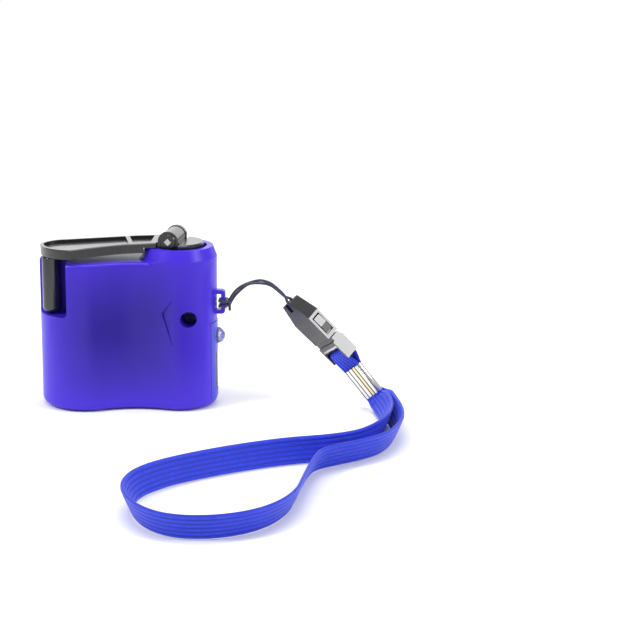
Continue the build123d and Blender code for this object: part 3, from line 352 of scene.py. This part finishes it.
def add_sleeve():
    bm = bmesh.new()
    length = (FERRULE_END - FERRULE_TOP).length
    outline = sleeve_outline()
    rings = []
    for share, swell in SLEEVE_RINGS:
        centre = FERRULE_TOP + ferrule_along * length * share
        rings.append([bm.verts.new(centre + (ferrule_side * a + ferrule_face * b) * swell)
                      for a, b in outline])
    count = len(outline)
    for one, two in zip(rings, rings[1:]):
        for j in range(count):
            k = (j + 1) % count
            bm.faces.new((one[j], one[k], two[k], two[j])).smooth = True
    bmesh.ops.remove_doubles(bm, verts=bm.verts, dist=1e-7)
    bmesh.ops.recalc_face_normals(bm, faces=bm.faces)
    mesh = bpy.data.meshes.new("metal_sleeve")
    bm.to_mesh(mesh)
    bm.free()
    piece = bpy.data.objects.new("metal_sleeve", mesh)
    bpy.context.collection.objects.link(piece)
    return piece


metal_sleeve = add_sleeve()
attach(metal_sleeve, "housing")
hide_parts("strap_ferrule")
print("ferrule faces:", len(metal_sleeve.data.polygons))

# %% [markdown]
# ## The hitch at the eye
# The cord is looped twice round the eye's bar and tied beside it. Closed curves make the two
# wraps, and a knot is one cord crossing itself, so it is a closed trefoil drawn small and tight.

# %% Hitch and knot
EYE_LEFT, EYE_RIGHT, EYE_FRONT = 30.5, 31.85, -2.8     # the eye's bar, millimetres
WRAP_GAP = 0.5                                         # from the bar to the cord's middle
WRAP_HEIGHTS = (33.4, 35.2)
CORNER_SHARE = 0.15                                    # of each side is taken by its rounded corner
KNOT = Vector((33.05, -1.3, 34.3))
KNOT_POINTS = 18
tail_points = [(33.0, -1.4, 34.2), (33.3, -1.5, 33.4), (33.2, -1.4, 32.6), (33.3, -1.4, 31.7)]


def add_loop(name, points):
    piece = add_route(name, [Vector(p) * MM for p in points], closed=True)
    plump(piece, CORD_WIDTH)
    return piece


wrap_left, wrap_right, wrap_front = EYE_LEFT - WRAP_GAP, EYE_RIGHT + WRAP_GAP, EYE_FRONT - WRAP_GAP
wrap_corners = [(wrap_left, wrap_front), (wrap_right, wrap_front),
                (wrap_right, WRAP_GAP), (wrap_left, WRAP_GAP)]
hitch_wraps = []
for height in WRAP_HEIGHTS:
    ring = []
    for (x0, y0), (x1, y1) in zip(wrap_corners, wrap_corners[1:] + wrap_corners[:1]):
        ring += [(x0 + (x1 - x0) * share, y0 + (y1 - y0) * share, height)
                 for share in (0, CORNER_SHARE, 1 - CORNER_SHARE)]
    hitch_wraps.append(add_loop("hitch_wrap_%d" % len(hitch_wraps), ring))
trefoil = []
for i in range(KNOT_POINTS):
    t = 2 * math.pi * i / KNOT_POINTS
    trefoil.append(KNOT + Vector((0.42 * math.sin(3 * t), 0.30 * (math.cos(t) - 2 * math.cos(2 * t)),
                                  0.36 * (math.sin(t) + 2 * math.sin(2 * t)))))
hitch_wraps.append(add_loop("hitch_knot", trefoil))
knot_tail = add_route("hitch_tail", [Vector(p) * MM for p in tail_points])
plump(knot_tail, CORD_WIDTH)
hitch_wraps.append(knot_tail)
for wrap in hitch_wraps:
    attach(wrap, "housing")
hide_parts("lanyard_hitch")
print("hitch pieces:", len(hitch_wraps))

# %% [markdown]
# ## What is soft
# A cord isn't only a shape: whoever uses the model wants to know how long it is and how it bends.
# The lengths of both are printed where they are built.

# %% What is soft
print("two soft cords: the thin cord and the strap")

# %% [markdown]
# ## Shader maths as plain expressions
# A material is a small program. Instead of placing every Math node by hand, one class wraps a
# socket and adds the node when Python meets a plus or a times. The lines below then read like
# the formula that they draw.

# %% The socket class
class Wire:
    """An output socket that takes part in sums."""

    def __init__(self, paint, socket):
        self.paint, self.socket = paint, socket

    def maths(self, operation, *others):
        return self.paint.node("ShaderNodeMath", {"operation": operation}, [self, *others])

    def __add__(self, other):
        return self.maths("ADD", other)

    __radd__ = __add__

    def __mul__(self, other):
        return self.maths("MULTIPLY", other)

    __rmul__ = __mul__

    def __sub__(self, other):
        return self.maths("SUBTRACT", other)

    def __rsub__(self, other):
        return self.paint.node("ShaderNodeMath", {"operation": "SUBTRACT"}, [other, self])

    def __truediv__(self, other):
        return self.maths("DIVIDE", other)

    def __pow__(self, other):
        return self.maths("POWER", other)

    def clamped(self):
        return self.paint.node("ShaderNodeClamp", {}, [self, 0.0, 1.0])


class Paint:
    """One material and its nodes."""

    def __init__(self, name):
        self.material = bpy.data.materials.new(name)
        self.material.use_nodes = True
        self.tree = self.material.node_tree
        self.surface = self.tree.nodes["Principled BSDF"]

    def node(self, kind, settings, inputs=(), output=0):
        new = self.tree.nodes.new(kind)
        for key, value in settings.items():
            if key == "stops":
                while len(new.color_ramp.elements) < len(value):
                    new.color_ramp.elements.new(0.5)
                for element, (place, colour) in zip(new.color_ramp.elements, value):
                    element.position, element.color = place, colour
            else:
                setattr(new, key, value)
        named = inputs.items() if isinstance(inputs, dict) else enumerate(inputs)
        for key, value in named:
            self.feed(new.inputs[key], value)
        return Wire(self, new.outputs[output])

    def feed(self, socket, value):
        if isinstance(value, Wire):
            self.tree.links.new(value.socket, socket)
        elif value is not None:
            socket.default_value = value

    def coat(self, **inputs):
        """Sets the surface's own sockets: base_color becomes Base Color and so on."""
        for key, value in inputs.items():
            self.feed(self.surface.inputs[key.replace("_", " ").title().replace("Ior", "IOR")], value)

    def place(self, kind="Object"):
        return self.node("ShaderNodeTexCoord", {}, (), kind)

    def noise(self, scale, detail=2.0, vector=None):
        vector = vector or self.place()
        return self.node("ShaderNodeTexNoise", {}, {"Vector": vector, "Scale": scale, "Detail": detail})

    def mix(self, factor, one, two):
        return self.node("ShaderNodeMix", {"data_type": "RGBA"}, {0: factor, 6: one, 7: two}, 2)

    def ramp(self, factor, stops):
        return self.node("ShaderNodeValToRGB", {"stops": stops}, [factor])

    def bump(self, height, strength, distance):
        return self.node("ShaderNodeBump", {},
                         {"Height": height, "Strength": strength, "Distance": distance}, "Normal")

    def axes(self, vector=None):
        split = self.tree.nodes.new("ShaderNodeSeparateXYZ")
        self.feed(split.inputs[0], vector or self.place())
        return [Wire(self, s) for s in split.outputs]


def rgb(red, green, blue):
    """A colour as seen on screen, 0 to 255, turned into the linear values that nodes use."""
    linear = []
    for value in (red, green, blue):
        share = value / 255
        linear.append(share / 12.92 if share <= 0.04045 else ((share + 0.055) / 1.055) ** 2.4)
    return (*linear, 1.0)


def shaded(colour, share):
    """A node colour made darker."""
    return (*(c * share for c in colour[:3]), 1.0)


print("a mid grey is", round(rgb(128, 128, 128)[0], 3), "in linear light")

# %% [markdown]
# ## The frosted case
# The case is dyed plastic with a fine frost. Light and shade are painted into its colour: the
# middle is painted darker as the shade of the generator close behind the wall, and towards the
# edges it is painted lighter as light that enters the plastic. Both are drawn from the place on
# the object, so they stay put when the camera moves.

# %% Case plastic
# The middle that is painted darker as shade: half its width, half its height and its height, in metres.
SHADE_HALF_WIDE, SHADE_HALF_TALL, SHADE_HEIGHT = 0.027, 0.026, 0.027     # of the deeper middle, metres


# light is the tone painted towards the edges as light entering the plastic; deep is the painted shade of
# the middle.
def case_plastic(name, light, deep):
    paint = Paint(name)
    x, _, z = paint.axes()
    inward = 1 - ((x / SHADE_HALF_WIDE) ** 2).clamped()
    middle = 1 - (((z - SHADE_HEIGHT) / SHADE_HALF_TALL) ** 2).clamped()
    cloud = paint.noise(70.0, 3.0)
    # Painted shade: the middle is darkened where the generator stands behind the wall, and a cloud noise
    # varies it.
    painted_shade = (inward * middle * (cloud * 0.5 + 0.75)).clamped()
    speck = paint.noise(2600.0, 2.0)
    tint = paint.mix(painted_shade, light, deep)
    paint.coat(base_color=tint, roughness=speck * 0.10 + 0.26, specular_ior_level=0.28,
               normal=paint.bump(speck, 0.12, 0.00005))
    return paint.material


# The case's tone painted lighter towards the edges as entering light, and its painted shade in the middle;
# the panel has its own two tones for the same.
CASE_LIT_TONE, CASE_SHADE_TONE = rgb(70, 42, 208), rgb(38, 22, 136)
case_finish = case_plastic("frosted_violet", CASE_LIT_TONE, CASE_SHADE_TONE)
panel_finish = case_plastic("panel_blue", rgb(62, 62, 205), rgb(52, 50, 180))
print("case finishes:", case_finish.name, panel_finish.name)

# %% [markdown]
# ## Black plastics
# The crank is a satin black: the fine texture of its mould scatters light. A pure black would
# look like a hole, so the tone is a very dark grey that drifts a little from place to place. The
# knob is the same plastic polished, and the buckle is a lighter slate.

# %% Crank and knob
def black_plastic(name, tone, rough, grain, coat=0.0):
    paint = Paint(name)
    fine = paint.noise(grain, 3.0)
    broad = paint.noise(90.0, 2.0)
    paint.coat(base_color=paint.mix(broad, rgb(tone, tone, tone + 2), rgb(tone + 7, tone + 7, tone + 9)),
               roughness=broad * 0.08 + (rough - 0.04), coat_weight=coat, coat_roughness=0.08,
               normal=paint.bump(fine, 0.15, 0.00004))
    return paint.material


crank_finish = black_plastic("satin_black", 18, 0.34, 3200.0, 0.6)
knob_finish = black_plastic("polished_black", 24, 0.16, 900.0, 0.5)
buckle_finish = black_plastic("slate_plastic", 32, 0.30, 2400.0, 0.7)
chip_finish = black_plastic("moulded_black", 26, 0.55, 2600.0)
print("black finishes:", crank_finish.name, knob_finish.name, buckle_finish.name, chip_finish.name)

# %% [markdown]
# ## Metals
# Drawn and turned metal has fine scratches in one direction. Noise that is squeezed along one
# axis gives them, and it drives tone, roughness and bump together, so that they agree.

# %% Metals
def metal(name, colour, rough, grain=1500.0, stretch=(1, 1, 12)):
    paint = Paint(name)
    long_grain = paint.node("ShaderNodeMapping", {}, {"Vector": paint.place(), "Scale": stretch})
    scratches = paint.noise(grain, 2.0, long_grain)
    paint.coat(base_color=paint.mix(scratches, colour, shaded(colour, 0.82)), metallic=1.0,
               roughness=scratches * 0.12 + (rough - 0.06), normal=paint.bump(scratches, 0.08, 0.00003))
    return paint.material


steel_finish = metal("bright_steel", rgb(205, 204, 202), 0.24)
brass_finish = metal("brass", rgb(214, 178, 104), 0.26)
copper_finish = metal("copper_winding", rgb(196, 116, 74), 0.35, 2600.0, (1, 1, 30))
dark_finish = metal("dark_steel", rgb(96, 96, 98), 0.4)
# The screw is dark metal; its violet tint is painted light from the violet plastic round its recess.
screw_finish = metal("dark_screw_painted_violet", rgb(66, 56, 112), 0.5)
socket_finish = metal("socket_shell", rgb(196, 196, 200), 0.5)
print("metal finishes:", *(m.name for m in (steel_finish, brass_finish, copper_finish, dark_finish)))

# %% [markdown]
# ## The pressed sleeve
# The ferrule is bright plate. Its grooves are painted dark as shade, and the rib in its middle is
# left a warm brass colour. The place across the sleeve decides which of them a point is.

# %% Ferrule finish
def sleeve_metal():
    paint = Paint("pressed_sleeve")
    across = paint.node("ShaderNodeVectorMath", {"operation": "DOT_PRODUCT"},
                        [paint.place(), tuple(ferrule_side)], "Value")
    share = (across - FERRULE_TOP.dot(ferrule_side)) / FERRULE_WIDE + 0.5
    # shade is the painted shade in the grooves; brass is the rib's own colour.
    plate, brass, shade = rgb(238, 237, 230), rgb(238, 220, 166), rgb(66, 64, 54)
    stops = [(0.0, plate)]
    for middle, _ in GROOVES:
        place = middle / 2 + 0.5
        beyond = brass if middle == BRASS_GROOVE else plate
        stops += [(place - 0.026, stops[-1][1]), (place - 0.012, shade), (place + 0.012, shade),
                  (place + 0.026, beyond)]
    band = paint.ramp(share, stops)
    scuff = paint.noise(1400.0, 3.0)
    paint.coat(base_color=band, metallic=1.0, roughness=scuff * 0.12 + 0.16,
               normal=paint.bump(scuff, 0.1, 0.00004))
    return paint.material


metal_sleeve.data.materials.append(sleeve_metal())
print("sleeve finish:", metal_sleeve.data.materials[0].name)

# %% [markdown]
# ## Mouldings, board and lamp
# Gears, plates and the board hide inside, but they are seen when the case is taken apart. Moulded
# plastic has faint flow marks, which a broad noise gives. The lamp is clear, so light goes
# through it and bends as in acrylic.

# %% Mouldings, board and lamp
def moulding(name, colour, rough=0.5):
    paint = Paint(name)
    flow = paint.noise(240.0, 3.0)
    paint.coat(base_color=paint.mix(flow, colour, shaded(colour, 0.9)),
               roughness=flow * 0.1 + (rough - 0.05), normal=paint.bump(paint.noise(1800.0), 0.1, 0.00004))
    return paint.material


nylon_finish = moulding("gear_nylon", rgb(226, 223, 212))
plate_finish = moulding("plate_nylon", rgb(58, 58, 62))
tongue_finish = moulding("tongue_plastic", rgb(232, 232, 230))
board_finish = moulding("solder_mask", rgb(22, 92, 52), 0.35)
wire_finish = moulding("wire_cover", rgb(168, 30, 28), 0.5)


def lamp_plastic():
    paint = Paint("clear_lamp")
    ripple = paint.noise(500.0)
    paint.coat(base_color=rgb(226, 228, 250), roughness=0.04, ior=1.49, transmission_weight=0.85,
               normal=paint.bump(ripple, 0.03, 0.00003))
    return paint.material


lamp_finish = lamp_plastic()
print("lamp finish:", lamp_finish.name)

# %% [markdown]
# ## Woven strap and braided cord
# The strap is a herringbone: fine threads cross it at a slant that flips from rib to rib. Its
# ribbon carries its own length and width in millimetres as UVs, so the threads can be drawn at
# their true spacing. The dips between threads and between ribs are painted darker as shade, so
# their crowns read lighter. The cord is a tight braid, and cells with a bump stand for its strands.

# %% Strap weave
THREADS_PER_MM, THREAD_SLANT = 1.9, 1.6
WHOLE_RIBS = 20            # added to keep the rib number above zero
FULL_TURN = 6.283


def strap_weave():
    paint = Paint("strap_weave")
    along, across, _ = paint.axes(paint.place("UV"))
    rib = across * (RIBS / (STRAP_WIDE * 1000)) + WHOLE_RIBS
    slant = rib.maths("PINGPONG", 1.0)
    thread = ((along * THREADS_PER_MM + slant * THREAD_SLANT) * FULL_TURN).maths("SINE")
    height = thread * 0.5 + 0.5
    fray = paint.noise(900.0, 3.0)
    crown = (rib * math.pi).maths("SINE")
    crown = (crown * crown) ** 0.5
    # Painted shade: darker in the dips between threads and between ribs, lighter on their crowns; the fray
    # noise adds random tone.
    shade = ((height * 0.45 + fray * 0.55) * (crown * 0.75 + 0.25)).clamped()
    colour = paint.ramp(shade, [(0.15, rgb(14, 34, 176)), (0.6, rgb(26, 58, 222)),
                                (0.95, rgb(66, 104, 250))])
    paint.coat(base_color=colour, roughness=fray * 0.15 + 0.5, sheen_weight=0.14, sheen_roughness=0.4,
               normal=paint.bump(height, 0.35, 0.00009))
    return paint.material


def cord_braid():
    paint = Paint("cord_braid")
    cell = paint.node("ShaderNodeTexVoronoi", {}, {"Vector": paint.place(), "Scale": 1800.0}, "Distance")
    fray = paint.noise(2400.0, 2.0)
    paint.coat(base_color=paint.mix(fray, rgb(26, 28, 44), rgb(62, 66, 88)), roughness=0.62,
               sheen_weight=0.3, normal=paint.bump(cell, 0.6, 0.0001))
    return paint.material


weave = strap_weave()
braid = cord_braid()
for piece in (loop_strap, strap_turn):
    piece.data.materials.append(weave)
for piece in (lanyard_string, *hitch_wraps):
    piece.data.materials.append(braid)
print("soft finishes:", weave.name, braid.name)

# %% [markdown]
# ## Give every solid its finish
# The solids came in with plain materials. Each finish is listed with the solids that have it, so
# that like pieces look alike and a change is made in one place.

# %% Give every solid its finish
FINISHES = (
    (case_finish, "front_shell rear_shell"),
    (panel_finish, "port_panel"),
    (crank_finish, "crank_hub crank_arm pin_cap"),
    (knob_finish, "crank_knob"),
    (buckle_finish, "buckle_socket buckle_plug"),
    (screw_finish, "case_screw"),
    (socket_finish, "usb_shell"),
    (chip_finish, "regulator_chip diodes capacitor"),
    (steel_finish, "board_screws plate_screws first_axle second_axle generator_can rotor_shaft "
                   "hinge_pin knob_pin shaft_clip crank_shaft plate_posts led_leads"),
    (brass_finish, "rotor_pinion usb_contacts generator_brushes generator_terminals"),
    (copper_finish, "commutator inductor"),
    (dark_finish, "rotor_armature generator_magnets"),
    (nylon_finish, "drive_gear first_gear second_gear"),
    (plate_finish, "gear_plate_lower gear_plate_upper deck_bushing generator_cap"),
    (tongue_finish, "usb_tongue"),
    (board_finish, "circuit_board"),
    (wire_finish, "generator_wires"),
    (lamp_finish, "led_lamp"),
)
painted = 0
for finish, names in FINISHES:
    for name in names.split():
        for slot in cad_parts[name].material_slots:
            slot.material = finish
        painted += 1
print("painted", painted, "solids")

# %% [markdown]
# ## A white table
# The charger stands on a white sheet that has no edge. A plane would end in a line somewhere, so
# it fades out round the object until only its soft shadow is left on the white backdrop.

# %% The table
TABLE_PLACE = (0.05, 0.5, -0.0002)
FADE_FROM, FADE_RATE = 0.20, 4         # metres from the object, and how fast it goes
floor_mesh = bpy.data.meshes.new("table")
bm = bmesh.new()
bmesh.ops.create_grid(bm, x_segments=2, y_segments=2, size=4.0)
bm.to_mesh(floor_mesh)
bm.free()
table = bpy.data.objects.new("table", floor_mesh)
table.location = TABLE_PLACE
bpy.context.collection.objects.link(table)
table_paint = Paint("table_white")
paper = table_paint.noise(4.0)
table_x, table_y, _ = table_paint.axes()
reach = (table_x ** 2 + (table_y + TABLE_PLACE[1]) ** 2) ** 0.5
table_paint.coat(base_color=table_paint.mix(paper, (0.93, 0.93, 0.93, 1), (0.95, 0.95, 0.95, 1)),
                 roughness=0.9, specular_ior_level=0.1,
                 alpha=1 - ((reach - FADE_FROM) * FADE_RATE).clamped())
floor_mesh.materials.append(table_paint.material)
print("table at", TABLE_PLACE)

# %% [markdown]
# ## Lamps and sky
# Product photos use large soft lamps: a main one from the left, a weaker one from the right, one
# overhead and a bright wall behind, which draws the pale edges on the crank. The sky gives an
# even light, and a second background is shown to the camera alone, so that it is just white.

# %% Lamps and sky
def add_lamp(name, place, aim, size, power):
    light = bpy.data.lights.new(name, "AREA")
    light.shape = "RECTANGLE"
    light.size, light.size_y = size
    light.energy = power
    lamp = bpy.data.objects.new(name, light)
    lamp.location = place
    lamp.visible_camera = False
    lamp.rotation_euler = (Vector(aim) - Vector(place)).to_track_quat("-Z", "Y").to_euler()
    bpy.context.collection.objects.link(lamp)


TARGET = (0.03, -0.02, 0.03)
SKY_LIGHT = 0.45
add_lamp("key_left", (-0.8, -0.5, 0.9), TARGET, (0.35, 0.35), 9.0)
add_lamp("fill_right", (0.76, -0.30, 0.56), TARGET, (0.32, 0.32), 4.0)
add_lamp("overhead", (0.0, 0.1, 1.1), TARGET, (0.7, 0.7), 6.0)
add_lamp("back_wall", (0.0, 1.1, 0.42), (0.0, 0.0, 0.05), (2.4, 0.7), 6.0)
world = bpy.data.worlds.new("studio")
world.use_nodes = True
sky_nodes, sky_links = world.node_tree.nodes, world.node_tree.links
sky = sky_nodes["Background"]
sky.inputs["Color"].default_value = (1, 1, 1, 1)
sky.inputs["Strength"].default_value = SKY_LIGHT
backdrop = sky_nodes.new("ShaderNodeBackground")
backdrop.inputs["Color"].default_value = (1, 1, 1, 1)
backdrop.inputs["Strength"].default_value = 1.0
rays = sky_nodes.new("ShaderNodeLightPath")
either = sky_nodes.new("ShaderNodeMixShader")
sky_links.new(rays.outputs["Is Camera Ray"], either.inputs[0])
sky_links.new(sky.outputs[0], either.inputs[1])
sky_links.new(backdrop.outputs[0], either.inputs[2])
sky_links.new(either.outputs[0], sky_nodes["World Output"].inputs["Surface"])
bpy.context.scene.world = world
bpy.context.scene.view_settings.view_transform = "Standard"
print("lamps:", len(bpy.data.lights))
